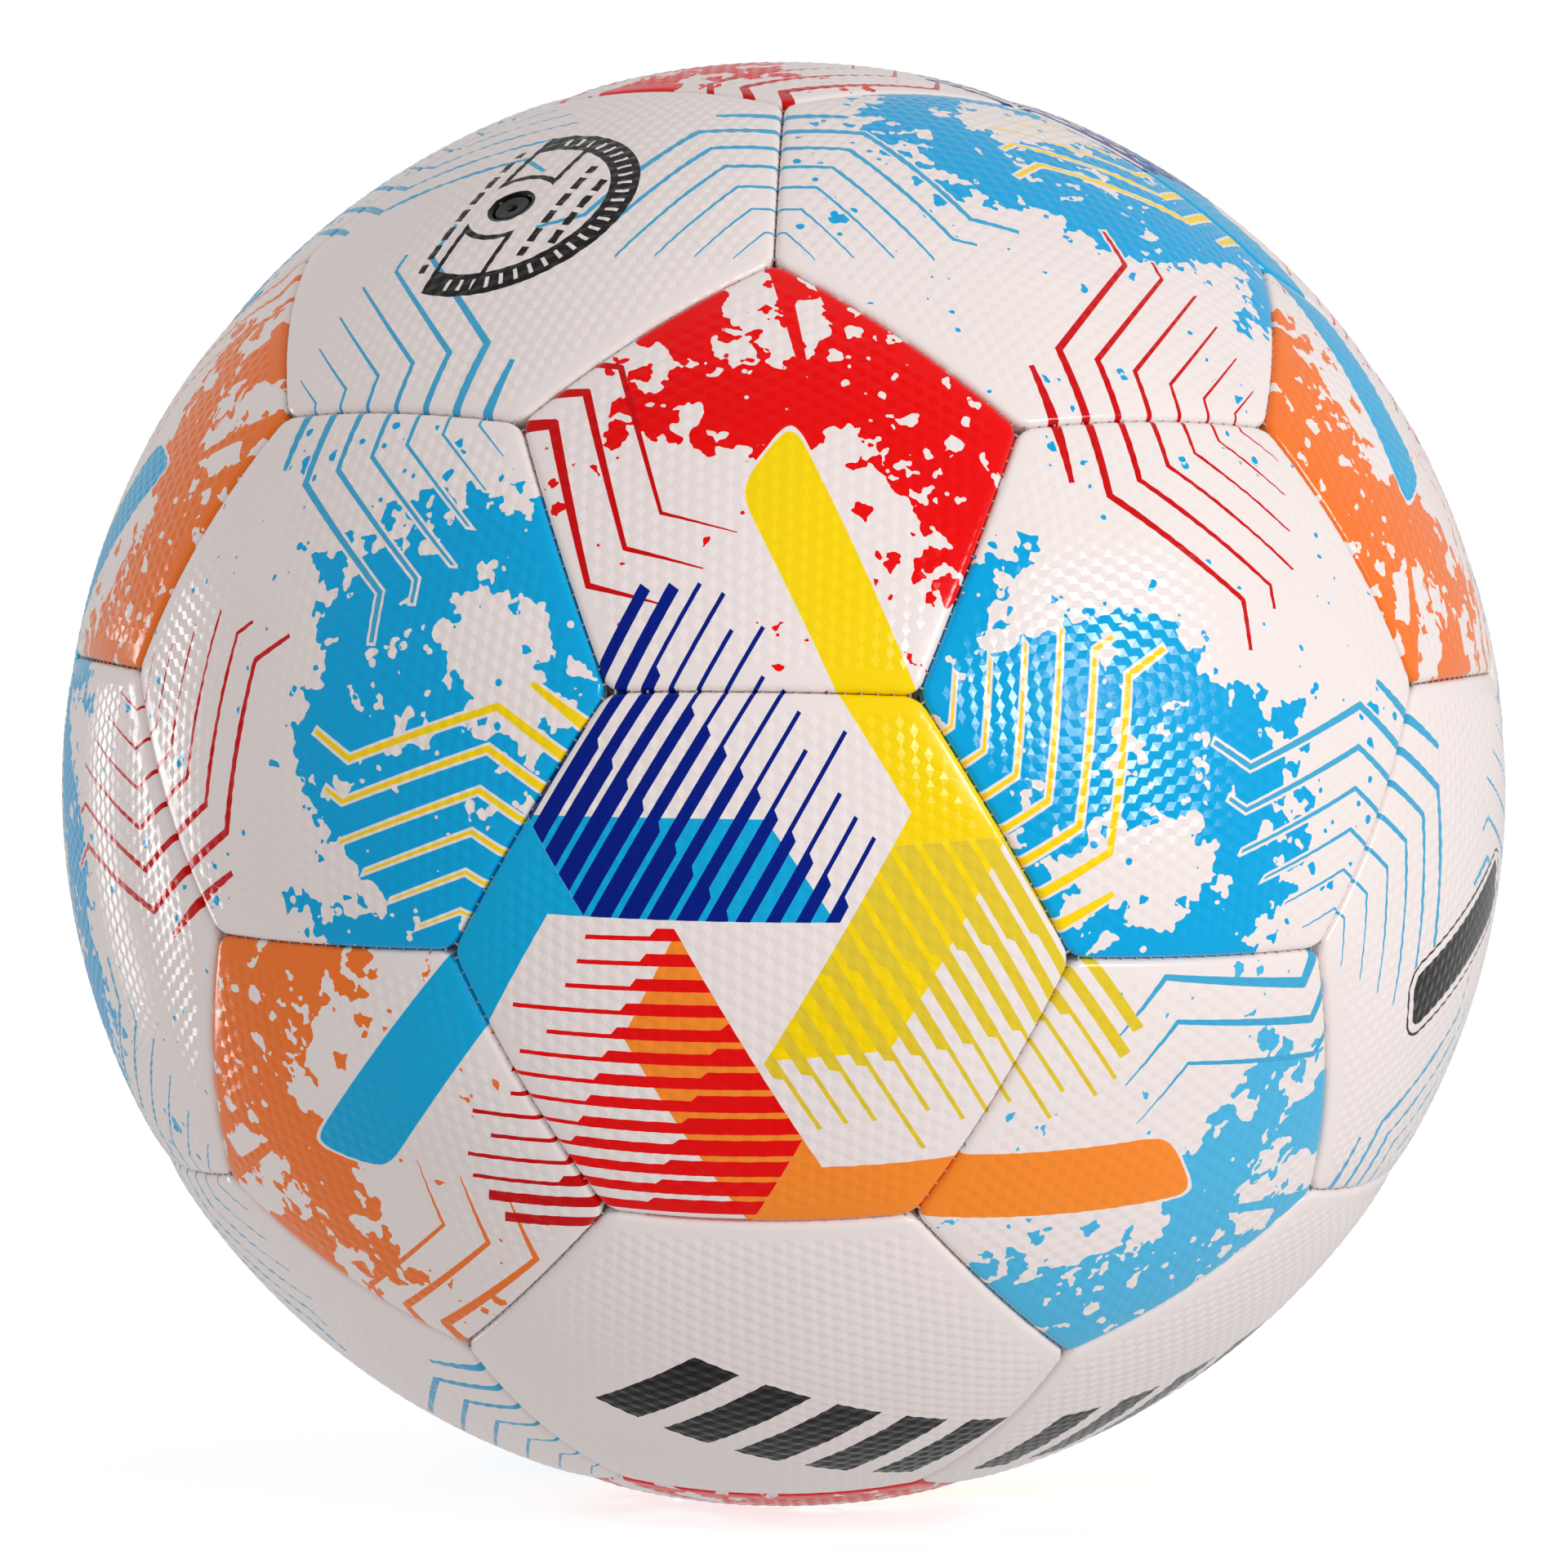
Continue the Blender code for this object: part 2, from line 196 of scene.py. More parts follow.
def lattice(pitch, reach):
    """A triangular lattice of points, and which of its three sublattices each is on."""
    count = int(reach / pitch * 1.3) + 2
    i, j = (grid.ravel() for grid in np.meshgrid(np.arange(-count, count + 1), np.arange(-count, count + 1)))
    points = np.stack([(i + j / 2) * pitch, j * pitch * math.sqrt(3) / 2], 1)
    near = np.linalg.norm(points, axis=1) < reach
    return points[near], ((i - j) % 3)[near]


def seam_roll(distance, points):
    """How far the skin lies below the crown of its panel: a wide soft drop, a rolled edge and stitch dips."""
    inside = np.clip(ROLL_RADIUS - distance, 0, ROLL_RADIUS)
    roll = ROLL_RADIUS - np.sqrt(ROLL_RADIUS**2 - inside**2)
    angle = np.arctan2(points[:, 1], points[:, 0])
    around = np.linalg.norm(points, axis=1) * angle
    dips = STITCH_DIP * np.cos(2 * np.pi * around / STITCH_PITCH) * np.exp(-distance / STITCH_REACH)
    return CROWN_DROP * np.exp(-distance / CROWN_LENGTH) + roll + dips


def loop_edges(start, count):
    """The edges of a closed loop of points that are numbered in a row."""
    return [(start + k, start + (k + 1) % count) for k in range(count)]


def filled(flat, edges, hole):
    """Triangles over the points inside a panel's outline, leaving its hole open if it has one."""
    triangles = delaunay_2d_cdt([Vector(point) for point in flat], edges, [], 2, 1e-7)[2]
    if hole:
        within = HOLE_RADIUS * 0.999
        triangles = [tri for tri in triangles if np.linalg.norm(flat[list(tri)].mean(0)) > within]
    return triangles


def outer_face(sides, first, hole):
    """The face that shows: its coordinates, radii, triangles, their finishes, and the loops at its edges."""
    rings = [outline(distance, spacing, sides, first) for distance, spacing in RINGS]
    loops = [list(range(len(rings[0])))]
    edges = loop_edges(0, len(rings[0]))
    dots, third = lattice(EMBOSS_PITCH, panel_apothem(sides) / math.cos(math.pi / sides))
    inside = edge_distance(dots, sides, first) > EMBOSS_START
    if hole:
        inside &= np.linalg.norm(dots, axis=1) > HOLE_RADIUS + HOLE_CLEAR
        start = len(np.vstack(rings))
        loops.append(list(range(start, start + HOLE_STEPS))[::-1])
        edges += loop_edges(start, HOLE_STEPS)
        turn = np.arange(HOLE_STEPS) * 2 * np.pi / HOLE_STEPS
        circle = np.stack([np.cos(turn), np.sin(turn)], 1)
        rings += [circle * HOLE_RADIUS, circle * (HOLE_RADIUS + HOLE_RIM)]
    dots, third = dots[inside], third[inside]
    flat = np.vstack(rings + [dots])
    plain = len(flat) - len(dots)
    heights = np.array([0.0, EMBOSS_MIDDLE, 1.0])[third] * EMBOSS_HEIGHT
    rest = EMBOSS_HEIGHT * (1 + EMBOSS_MIDDLE) / 3
    past_start = (edge_distance(dots, sides, first) - EMBOSS_START) / (EMBOSS_FULL - EMBOSS_START)
    heights = rest + (heights - rest) * np.clip(past_start, EMBOSS_LEAST, 1)
    emboss = np.concatenate([np.full(plain, rest), heights])
    radius = BALL - EMBOSS_HEIGHT + emboss - seam_roll(edge_distance(flat, sides, first), flat)
    if hole:
        radius[start : start + HOLE_STEPS] -= HOLE_SINK
    faces = filled(flat, edges, hole)
    return flat, radius, faces, [FACET if min(face) >= plain else SMOOTH for face in faces], loops


def panel_shape(sides, first, hole=False):
    """One panel round +Z, as panel coordinates, radii in millimetres, faces and how each face is finished."""
    flat, radius, faces, finish, loops = outer_face(sides, first, hole)
    for depth, kind in ((SKIN_DEPTH, SMOOTH), (PANEL_DEPTH, BACKING)):
        for number, loop in enumerate(loops):
            new = list(range(len(flat), len(flat) + len(loop)))
            flat = np.vstack([flat, flat[loop]])
            radius = np.concatenate([radius, np.full(len(loop), BALL - depth)])
            for k in range(len(loop)):
                after = (k + 1) % len(loop)
                faces.append((loop[k], new[k], new[after], loop[after]))
                finish.append(kind)
            loops[number] = new
    back, _ = lattice(BACKING_PITCH, panel_apothem(sides) / math.cos(math.pi / sides))
    clear = edge_distance(back, sides, first) > BACKING_PITCH / 2
    if hole:
        clear &= np.linalg.norm(back, axis=1) > HOLE_RADIUS + BACKING_PITCH / 2
    back = back[clear]
    ids = sum(loops, []) + list(range(len(flat), len(flat) + len(back)))
    flat = np.vstack([flat, back])
    radius = np.concatenate([radius, np.full(len(back), BALL - PANEL_DEPTH)])
    edges, at = [], 0
    for loop in loops:
        edges += loop_edges(at, len(loop))
        at += len(loop)
    for tri in filled(flat[ids], edges, hole):
        faces.append(tuple(ids[k] for k in tri)[::-1])
        finish.append(BACKING)
    return flat, radius, faces, np.array(finish)


def panel_mesh(name, shape, turn, art_turn):
    """The panel's mesh in place, with its artwork's own coordinates as the UV map."""
    flat, radius, faces, finish = shape
    directions = np.column_stack([flat, np.full(len(flat), BALL)])
    directions /= np.linalg.norm(directions, axis=1, keepdims=True)
    points = directions * (radius * MM)[:, None] @ turn.T
    mesh = bpy.data.meshes.new(name)
    mesh.from_pydata(points.tolist(), [], faces)
    angle = math.radians(-art_turn)
    rotation = np.array([[math.cos(angle), -math.sin(angle)], [math.sin(angle), math.cos(angle)]])
    art = flat @ rotation.T / UV_SPAN + 0.5
    corners = np.empty(len(mesh.loops), np.int32)
    mesh.loops.foreach_get("vertex_index", corners)
    uv = mesh.uv_layers.new(name="artwork")
    uv.data.foreach_set("uv", art[corners].astype(np.float32).ravel())
    mesh.polygons.foreach_set("material_index", (finish == BACKING).astype(np.int32))
    mesh.polygons.foreach_set("use_smooth", finish == SMOOTH)
    mesh.update()
    return mesh


# Numbers and colours as shader nodes.


def paint(red, green, blue):
    """A linear colour from display values of 0 to 255."""
    return tuple(
        c / 12.92 if c <= 0.04045 else ((c + 0.055) / 1.055) ** 2.4
        for c in (red / 255, green / 255, blue / 255)
    )


def feed(socket, value):
    """Gives a socket a constant, a Field or another node's output."""
    if isinstance(value, Field):
        value = value.socket
    if isinstance(value, bpy.types.NodeSocket):
        socket.id_data.links.new(value, socket)
    else:
        socket.default_value = value


def mixed(tree, factor, first, second, blend="MIX"):
    """A colour mixed from two others."""
    node = tree.nodes.new("ShaderNodeMix")
    node.data_type = "RGBA"
    node.blend_type = blend
    feed(node.inputs["Factor"], factor)
    for socket, value in zip([s for s in node.inputs if s.type == "RGBA"], (first, second)):
        feed(socket, value)
    return next(s for s in node.outputs if s.type == "RGBA")


def combined(tree, kind, *values):
    """A vector or a colour from three numbers."""
    node = tree.nodes.new(kind)
    for socket, value in zip(node.inputs, values):
        feed(socket, value)
    return node.outputs[0]


def new_material(name):
    """A material with its tree and its shader."""
    material = bpy.data.materials.new(name)
    material.use_nodes = True
    return material, material.node_tree, material.node_tree.nodes["Principled BSDF"]


class Field:
    """A number that varies over a surface. Arithmetic on it adds Math nodes to its tree."""

    def __init__(self, tree, socket):
        self.tree = tree
        self.socket = socket

    def math(self, operation, *others, clamp=False):
        node = self.tree.nodes.new("ShaderNodeMath")
        node.operation = operation
        node.use_clamp = clamp
        for socket, value in zip(node.inputs, (self, *others)):
            feed(socket, value)
        return Field(self.tree, node.outputs[0])

    def __add__(self, other):
        return self.math("ADD", other)

    def __sub__(self, other):
        return self.math("SUBTRACT", other)

    def __mul__(self, other):
        return self.math("MULTIPLY", other)

    def __neg__(self):
        return self * -1.0

    def over(self, factor, offset):
        """Itself times a factor, plus an offset, in one node."""
        return self.math("MULTIPLY_ADD", factor, offset)

    def min(self, other):
        return self.math("MINIMUM", other)

    def max(self, other):
        return self.math("MAXIMUM", other)

    def abs(self):
        return self.math("ABSOLUTE")

    def crisp(self, width=0.08):
        """1 where it is positive, 0 where it is negative, with an edge this wide in millimetres."""
        return self.math("MULTIPLY_ADD", 1 / width, 0.5, clamp=True)

    def share(self):
        """Itself, held between 0 and 1."""
        return self.math("ADD", 0.0, clamp=True)


class Drawing:
    """A place on a panel in millimetres, and what is drawn there."""

    def __init__(self, tree, x, y, vector=None):
        self.tree, self.x, self.y = tree, x, y
        self.vector = combined(tree, "ShaderNodeCombineXYZ", x, y) if vector is None else vector

    def along(self, angle):
        """Distance from the middle of the panel in this direction."""
        a = math.radians(angle)
        return self.x * math.cos(a) + self.y * math.sin(a)

    def beyond(self, angle, distance):
        """Positive past a line that faces this direction, at this distance from the middle."""
        a = math.radians(angle)
        return self.x.over(math.cos(a), -distance) + self.y * math.sin(a)

    def left_of(self, start, end):
        """Positive to the left of the line from start to end."""
        (ax, ay), (bx, by) = start, end
        angle = math.degrees(math.atan2(by - ay, bx - ax)) + 90
        a = math.radians(angle)
        return self.beyond(angle, ax * math.cos(a) + ay * math.sin(a))

    def turned(self, angle):
        """The same place in a drawing that is turned by this angle."""
        return Drawing(self.tree, self.along(angle), self.along(angle + 90))

    def vector_math(self, operation, first, second=None):
        node = self.tree.nodes.new("ShaderNodeVectorMath")
        node.operation = operation
        feed(node.inputs[0], first)
        if second is not None:
            feed(node.inputs[1], second)
        return node

    def ellipse(self, centre, radii, tilt=0.0):
        """Positive inside an ellipse, in millimetres near its edge."""
        here = self
        if tilt:
            a = math.radians(tilt)
            here = self.turned(tilt)
            x, y = centre
            centre = (x * math.cos(a) + y * math.sin(a), y * math.cos(a) - x * math.sin(a))
        offset = self.vector_math("SUBTRACT", here.vector, (*centre, 0)).outputs[0]
        scaled = self.vector_math("MULTIPLY", offset, (1 / radii[0], 1 / radii[1], 0)).outputs[0]
        length = Field(self.tree, self.vector_math("LENGTH", scaled).outputs[1])
        size = min(radii)
        return length.over(-size, size)

    def noise(self, size, detail=3.0, roughness=0.5, seed=0.0):
        """Noise of about -1 to 1 with features of this size."""
        node = self.tree.nodes.new("ShaderNodeTexNoise")
        node.noise_dimensions = "3D"
        node.inputs["Scale"].default_value = 1 / size
        node.inputs["Detail"].default_value = detail
        node.inputs["Roughness"].default_value = roughness
        shifted = self.vector_math("ADD", self.vector, (seed, 2 * seed, seed)).outputs[0]
        feed(node.inputs["Vector"], shifted)
        return Field(self.tree, node.outputs["Fac"]).over(4.0, -2.0)


def new_group(name, inputs, outputs, draw):
    """A node group whose outputs are what draw gives for its inputs."""
    tree = bpy.data.node_groups.new(name, "ShaderNodeTree")
    for way, labels in (("INPUT", inputs), ("OUTPUT", outputs)):
        for label in labels:
            tree.interface.new_socket(label, in_out=way, socket_type="NodeSocketFloat")
    entry = tree.nodes.new("NodeGroupInput")
    leave = tree.nodes.new("NodeGroupOutput")
    drawn = draw(*(Field(tree, entry.outputs[label]) for label in inputs))
    for label, field in zip(outputs, drawn):
        feed(leave.inputs[label], field)
    return tree


def use_group(group, *values):
    """Adds the group to the tree of its first value and gives its outputs."""
    tree = values[0].tree
    node = tree.nodes.new("ShaderNodeGroup")
    node.node_tree = group
    for socket, value in zip(node.inputs, values):
        feed(socket, value)
    return [Field(tree, socket) for socket in node.outputs]


def looked_up(field, values):
    """The value in the list at a whole number, counted from 0."""
    tree = field.tree
    node = tree.nodes.new("ShaderNodeValToRGB")
    ramp = node.color_ramp
    ramp.interpolation = "CONSTANT"
    top = max(values)
    while len(ramp.elements) < len(values):
        ramp.elements.new(0.5)
    for index, value in enumerate(values):
        element = ramp.elements[index]
        element.position = index / len(values)
        element.color = (value / top,) * 3 + (1,)
    feed(node.inputs[0], field.over(1 / len(values), 0.5 / len(values)))
    return Field(tree, node.outputs[0]) * top


# The print. Its lengths are in millimetres, and its angles in degrees from a panel's own X towards its Y.

HEXAGON_APOTHEM = panel_apothem(6)
PENTAGON_APOTHEM = panel_apothem(5)

WHITE = paint(243, 231, 228)
RED = paint(240, 2, 4)
DARK_RED = paint(208, 3, 8)
SPLATTER_BLUE = paint(0, 168, 226)
LIGHT_BLUE = paint(76, 184, 228)
FAN_BLUE = paint(66, 170, 214)
CYAN = paint(4, 172, 224)
NAVY = paint(0, 28, 134)
YELLOW = paint(255, 218, 0)
FAN_YELLOW = paint(255, 216, 8)
OLIVE = paint(232, 202, 48)
ORANGE = paint(255, 142, 44)
SPLATTER_ORANGE = paint(248, 122, 44)
BLACK = paint(18, 12, 12)

# A fan is seven bent lines that start on a side of a hexagon. The first is thick and the last is thin.
FAN_PITCH = 5.9
FAN_FIRST = -18.0
FAN_LAST = 6
FAN_KINK = 8.7
FAN_LEAN = 0.40
FAN_SLOPE = 1.19
FAN_SHIFT = 20.0
FAN_WIDTH = 1.9
FAN_THINNING = 0.80  # each line has this share of the width of the one before
FAN_TAPER = 0.5  # and loses this share of its width towards its end
FAN_LENGTH = 44.0
FAN_SHORTENING = 6.2
FAN_STUB = 11.0  # length of the first line
HALO = 0.45


def draw_fan(along, inward):
    """The lines of a fan and the white border round them."""
    lean = FAN_SLOPE / (1 + FAN_SLOPE * FAN_LEAN)
    shift = (inward + along.over(FAN_LEAN, -FAN_KINK)) * lean
    across = along - shift.max(0.0).min(FAN_SHIFT)
    line = across.over(1 / FAN_PITCH, 0.5 - FAN_FIRST / FAN_PITCH).math("FLOOR").max(0.0).min(FAN_LAST)
    off = (across - line.over(FAN_PITCH, FAN_FIRST)).abs()
    end = line.over(-FAN_SHORTENING, FAN_LENGTH).min(line.over(FAN_LENGTH, FAN_STUB))
    width = (line * math.log(FAN_THINNING)).math("EXPONENT") * (FAN_WIDTH / 2)
    taper = inward.math("DIVIDE", end).over(-FAN_TAPER, 1.0)
    inside = (width * taper - off).min(end - inward)
    return inside.crisp(), (inside + HALO).crisp()


# The stripes of a figure: each starts on its base line, steps down in width twice and ends at its own height.
STRIPE_PITCH = 4.25
STRIPE_LEAN = 0.5475  # sideways for each millimetre up
STRIPE_RIGHT = 10.2
STRIPE_BASE = 9.0
STRIPE_TOPS = (20, 23, 26.5, 36, 33, 39, 42.5, 44.5, 52, 51.5, 57, 58.5, 58.5, 58.5)
STRIPE_END_SLANT = 0.55
STRIPE_WIDTH = 3.15
STEP_RISE = 3.15  # each stripe's steps are this much higher than those of the stripe before it
STEP_LENGTH = 1.4
FIRST_STEP, FIRST_CUT = -4.95, 1.05  # where a step starts, and what it takes off the width
SECOND_STEP, SECOND_CUT = 9.7, 1.32
LAST_STEPPED = 11.5  # the stripes after this one have no second step on the panel
OFF_PANEL = 40.0
FIGURE_BASE = 7.4
FIGURE_TOP = 22.3
FIGURE_SIDE = 34.07  # the way that the slanting sides of a figure face, in degrees
FIGURE_LEFT = -17.1
FIGURE_RIGHT = 13.15


def draw_stripes(x, y):
    """Where the stripes of a figure are, in the frame of the figure."""
    across = x - y.over(STRIPE_LEAN, -STRIPE_LEAN * STRIPE_BASE)
    count = across.over(-1 / STRIPE_PITCH, STRIPE_RIGHT / STRIPE_PITCH)
    number = count.math("CEIL")
    past = (number - count) * STRIPE_PITCH
    first_step = (y - number.over(STEP_RISE, FIRST_STEP)).math("DIVIDE", STEP_LENGTH, clamp=True)
    held = (number - LAST_STEPPED).crisp(0.1) * OFF_PANEL
    past_second = y - number.over(STEP_RISE, SECOND_STEP) - held
    second_step = past_second.math("DIVIDE", STEP_LENGTH, clamp=True)
    width = second_step.over(-SECOND_CUT, STRIPE_WIDTH) - first_step * FIRST_CUT
    top = looked_up(number, STRIPE_TOPS)
    in_range = (number + 0.5).min(-number + len(STRIPE_TOPS) - 0.5)
    inside = (width - past).min(top - past * STRIPE_END_SLANT - y)
    return (inside.min(past).min(in_range).crisp(),)


TORN_DEEPEST, TORN_FARTHEST = 4.2, -6.5  # the field is held between these, so that noise still breaks it
TORN_NOISE = ((12.0, 6.0, 0.0), (3.8, 6.5, 7.0))  # size, strength and seed
TORN_EDGE = 0.10
DROP_SPACING = 3.0
DROP_SIZE = 0.36  # of the largest drops, as a share of their spacing
DROP_RARITY = 3.0
DROP_FADE = 0.09  # drops shrink away from the torn edge
DROP_EDGE = 0.03


def draw_grunge(field, x, y, seed):
    """A field in millimetres turned into torn paint: ragged edges, islands, pinholes and drops."""
    tree = field.tree
    here = Drawing(tree, x, y, combined(tree, "ShaderNodeCombineXYZ", x, y, seed))
    torn = field.min(TORN_DEEPEST).max(TORN_FARTHEST)
    for size, strength, shift in TORN_NOISE:
        torn = torn + here.noise(size, 2.0, 0.55, seed=shift) * strength
    cells = tree.nodes.new("ShaderNodeTexVoronoi")
    cells.voronoi_dimensions = "3D"
    cells.inputs["Scale"].default_value = 1 / DROP_SPACING
    feed(cells.inputs["Vector"], here.vector)
    chance = tree.nodes.new("ShaderNodeSeparateColor")
    feed(chance.inputs[0], cells.outputs["Color"])
    near = torn.abs().over(-DROP_FADE, 1.0).max(0.0)
    size = Field(tree, chance.outputs[0]).math("POWER", DROP_RARITY) * DROP_SIZE * near
    drop = (size - Field(tree, cells.outputs["Distance"])).crisp(DROP_EDGE)
    return ((torn.crisp(TORN_EDGE) - drop).abs(),)


def draw_stroke(x, y, ax, ay, bx, by, start, end):
    """Positive inside a line from (ax, ay) to (bx, by) with these half widths."""
    dx, dy = bx - ax, by - ay
    px, py = x - ax, y - ay
    length = dx * dx + dy * dy
    share = (px * dx + py * dy).math("DIVIDE", length, clamp=True)
    off_x, off_y = px - dx * share, py - dy * share
    off = (off_x * off_x + off_y * off_y).math("SQRT")
    return (start + (end - start) * share - off,)


FAN = new_group("fan", ("along", "inward"), ("line", "border"), draw_fan)
STRIPES = new_group("stripes", ("x", "y"), ("stripe",), draw_stripes)
GRUNGE = new_group("torn paint", ("field", "x", "y", "seed"), ("paint",), draw_grunge)
STROKE = new_group("stroke", ("x", "y", "ax", "ay", "bx", "by", "start", "end"), ("inside",), draw_stroke)


class Print:
    """The ink on one kind of panel, laid on layer by layer."""

    def __init__(self, name):
        self.material, self.tree, self.shader = new_material(name)
        coordinates = self.tree.nodes.new("ShaderNodeUVMap")
        coordinates.uv_map = "artwork"
        split = self.tree.nodes.new("ShaderNodeSeparateXYZ")
        feed(split.inputs[0], coordinates.outputs[0])
        x = Field(self.tree, split.outputs[0]).over(UV_SPAN, -UV_SPAN / 2)
        y = Field(self.tree, split.outputs[1]).over(UV_SPAN, -UV_SPAN / 2)
        self.at = Drawing(self.tree, x, y)
        self.colour = (*WHITE, 1)

    def ink(self, colour, mask):
        """Prints a colour where the mask is 1."""
        self.colour = mixed(self.tree, mask, self.colour, (*colour, 1))

    def fan(self, side, handed, colour):
        """A fan of lines on the side that faces this way, thick end first clockwise where handed is 1."""
        a = math.radians(side)
        along = self.at.x * (handed * math.sin(a)) + self.at.y * (-handed * math.cos(a))
        inward = -self.at.beyond(side, HEXAGON_APOTHEM)
        line, border = use_group(FAN, along, inward)
        self.ink(WHITE, border)
        self.ink(colour, line)


def spot_of(tree):
    """A Drawing over a piece's own coordinates, in metres."""
    return Drawing(tree, None, None, tree.nodes.new("ShaderNodeTexCoord").outputs["Object"])


def add_bump(tree, height, strength, distance):
    """Fine relief, this many millimetres deep."""
    bump = tree.nodes.new("ShaderNodeBump")
    bump.inputs["Strength"].default_value = strength
    bump.inputs["Distance"].default_value = distance * MM
    feed(bump.inputs["Height"], height)
    feed(tree.nodes["Principled BSDF"].inputs["Normal"], bump.outputs[0])


SKIN_ROUGHNESS = 0.155
SKIN_IOR = 1.5
SKIN_TONE = 0.975
CLOUD_SIZE = 35.0
GRAIN_SIZE = 0.35


def finish_skin(layers):
    """The gloss of the coated skin over the print, with faint unevenness and a fine grain."""
    tree, shader = layers.tree, layers.shader
    spot = spot_of(tree)
    cloud = spot.noise(CLOUD_SIZE * MM, 2.0, 0.5, seed=3.0)
    grain = spot.noise(GRAIN_SIZE * MM, 2.0, 0.6, seed=11.0)
    shade = cloud * 0.02 + grain * 0.015 + SKIN_TONE
    grey = combined(tree, "ShaderNodeCombineColor", shade, shade, shade)
    feed(shader.inputs["Base Color"], mixed(tree, 1.0, layers.colour, grey, "MULTIPLY"))
    feed(shader.inputs["Roughness"], cloud * 0.03 + grain * 0.02 + SKIN_ROUGHNESS)
    shader.inputs["IOR"].default_value = SKIN_IOR
    add_bump(tree, grain, 0.35, 0.01)
    return layers.material


HEXAGON_SEED, PENTAGON_SEED = 1.0, 5.0


def splatter_print(name, handed):
    """A hexagon with torn blue paint and three fans: yellow, light blue and red."""
    layers = Print(name)
    at = layers.at
    body = (-at.y + 8.0).min(at.left_of((12, -8), (-4, 6))).min(-at.x + 11.5)
    strip = at.ellipse((-42, 11), (9, 13))
    lobe = at.ellipse((13, -22), (5, 5))
    gap = at.ellipse((-15, -28), (14, 7.5), 8)
    field = body.max(strip).max(lobe).min(-gap)
    (paint_mask,) = use_group(GRUNGE, field, at.x, at.y, HEXAGON_SEED)
    layers.ink(SPLATTER_BLUE, paint_mask)
    layers.fan(210, handed, FAN_YELLOW)
    layers.fan(330, handed, FAN_BLUE)
    layers.fan(90, handed, DARK_RED)
    return finish_skin(layers)


FAN_SIDES = (30, 150, 270)


def fans_print(name, handed, label=False):
    """A white hexagon with three light blue fans, and round the valve its label without any words."""
    layers = Print(name)
    for side in FAN_SIDES:
        layers.fan(side, handed, FAN_BLUE)
    if label:
        ink_label(layers)
    return finish_skin(layers)


LABEL_RADIUS = 20.0
LABEL_BAND = 4.6
LABEL_LEFT = -5.5  # the straight side of the crescent
LABEL_RIGHT = 3.9  # the line across it
LABEL_ARC = 7.4  # radius of the arcs round the valve
LABEL_ARC_END = 4.2
LABEL_LINE = 0.42
VALVE_RING = 3.8
TICKS = 48
TICK_PITCH = 2.6
TICK_HALF_WIDTH = 0.36
TICK_HALF_LENGTH = 1.1
TICK_START = -2.0
DASH_PITCH = 4.2
DASH_SHARE = 0.36  # of the pitch, either side of the middle of a dash
DASH_WIDTH = 1.3
DASH_COLUMNS = ((-8.0, 15.0), (8.4, 11.0), (12.2, 8.0))  # place of each row of dashes, and half its length


def ink_label(layers):
    """A black crescent with plain ticks like a dial's, a frame of thin lines and rows of dashes."""
    at = layers.at
    radius = (at.x * at.x + at.y * at.y).math("SQRT")
    right = at.x - LABEL_LEFT
    ring = (-radius + LABEL_RADIUS).min(radius - (LABEL_RADIUS - LABEL_BAND)).min(right)
    turn = (at.y.math("ARCTAN2", at.x) * (TICKS / (2 * math.pi))).math("FRACT")
    tick = (turn - 0.5).abs().over(-TICK_PITCH, TICK_HALF_WIDTH)
    tick = tick.min((radius - (LABEL_RADIUS - LABEL_BAND / 2)).abs().over(-1.0, TICK_HALF_LENGTH))
    left_line = (right - LABEL_LINE).abs().over(-1.0, LABEL_LINE)
    right_line = (at.x - LABEL_RIGHT).abs().over(-1.0, LABEL_LINE)
    arc_line = (radius - LABEL_ARC).abs().over(-1.0, LABEL_LINE * 1.3)
    box = right.min(-at.x + LABEL_ARC_END)
    lines = left_line.max(right_line).min(radius - LABEL_ARC).max(arc_line.min(box))
    lines = lines.min(-radius + LABEL_RADIUS)
    dash = ((at.y * (1 / DASH_PITCH)).math("FRACT") - 0.5).abs().over(-DASH_PITCH, DASH_SHARE * DASH_PITCH)
    for column, half_length in DASH_COLUMNS:
        bar = (-(at.x - column).abs() + DASH_WIDTH / 2).min(-at.y.abs() + half_length).min(dash)
        layers.ink(BLACK, bar.crisp())
    layers.ink(BLACK, ring.crisp())
    layers.ink(WHITE, tick.min(ring).min(at.x - TICK_START).crisp())
    layers.ink(BLACK, lines.max(-radius + VALVE_RING).crisp())


BLUE_PAIR = (NAVY, CYAN)
OLIVE_PAIR = (OLIVE, YELLOW)
RED_PAIR = (RED, ORANGE)
BAND_SIDE = (-30, -30.9)  # the line that a band keeps to below its figure
BAND_OVERLAP = 0.1


def figure_print(name):
    """A white hexagon with three striped figures, each a third of a turn on, and the bands leaving them."""
    layers = Print(name)
    for turn, (dark, bright) in ((0, BLUE_PAIR), (-120, OLIVE_PAIR), (120, RED_PAIR)):
        at = layers.at.turned(turn)
        side = at.beyond(FIGURE_SIDE, FIGURE_LEFT)
        above = at.y - FIGURE_BASE
        patch = side.min(-at.beyond(FIGURE_SIDE, FIGURE_RIGHT)).min(-at.y + FIGURE_TOP).min(above)
        band = (-side).min(above)
        band = band.max((-at.beyond(*BAND_SIDE)).min(-at.y + FIGURE_BASE + BAND_OVERLAP))
        layers.ink(bright, patch.max(band).crisp())
        (stripe,) = use_group(STRIPES, at.x, at.y)
        layers.ink(dark, (stripe - 0.5).min(side.min(above)).crisp())
    return finish_skin(layers)


